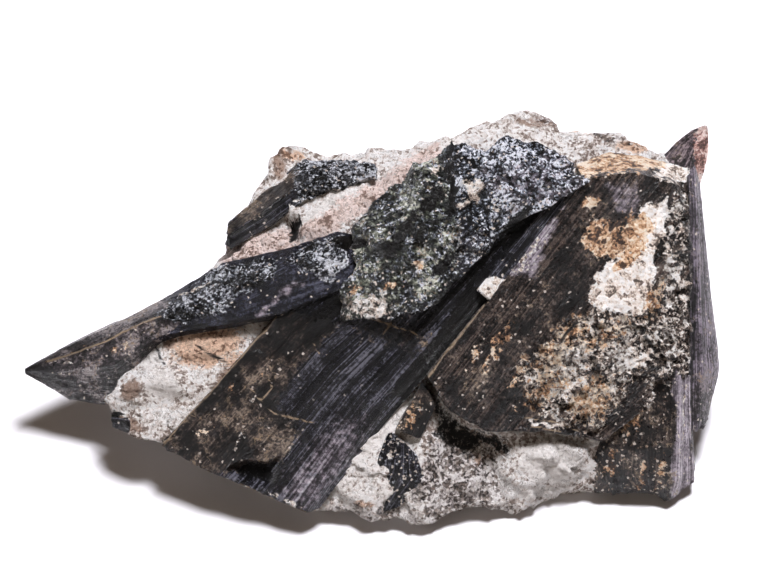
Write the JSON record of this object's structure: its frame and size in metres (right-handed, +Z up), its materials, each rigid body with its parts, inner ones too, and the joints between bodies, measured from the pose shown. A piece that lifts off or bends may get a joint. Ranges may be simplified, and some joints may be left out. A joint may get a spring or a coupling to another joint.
{
  "type": "aegirine crystal specimen",
  "caption": "Dark striated aegirine prisms grown together over a lumpy piece of pale feldspar matrix, lying on its flat base as a display mineral specimen.",
  "frame": {"origin": "bottom centre of the whole specimen's bounding box, on the table", "axes": "+Z up from the table, +X along the length towards the right end as displayed, +Y towards the back, so the display side faces -Y and up"},
  "size_m": [0.12, 0.073, 0.0432],
  "materials": {
    "feldspar_matrix": "lumpy sugary feldspar, off-white to pale pink with grey-brown speckle and rusty stains",
    "aegirine_black": "glossy blue-black prism faces with fine lengthwise striation, brown where weathered",
    "aegirine_blue": "smooth dark blue-grey prism faces with granular broken areas",
    "aegirine_granular": "granular broken surface of small dark greenish-black grains with bright sparkles",
    "aegirine_brown": "weathered brown-black face with rusty stains and patches of pale coating",
    "aegirine_purple": "striated purple-grey prism faces",
    "aegirine_rusty": "dark purplish-brown splinter with one reddish cleavage face"
  },
  "bodies": {
    "root": {"matrix_rock": "feldspar_matrix", "main_crystal": "aegirine_black", "crest_crystal": "aegirine_granular", "left_crystal": "aegirine_blue", "upper_left_crystal": "aegirine_granular", "right_crystal": "aegirine_brown", "corner_crystal": "aegirine_brown", "rear_right_crystal": "aegirine_purple", "rear_spike": "aegirine_rusty", "small_block": "aegirine_brown", "buried_crystal": "aegirine_black", "edge_splinter": "aegirine_black"}
  },
  "joints": []
}
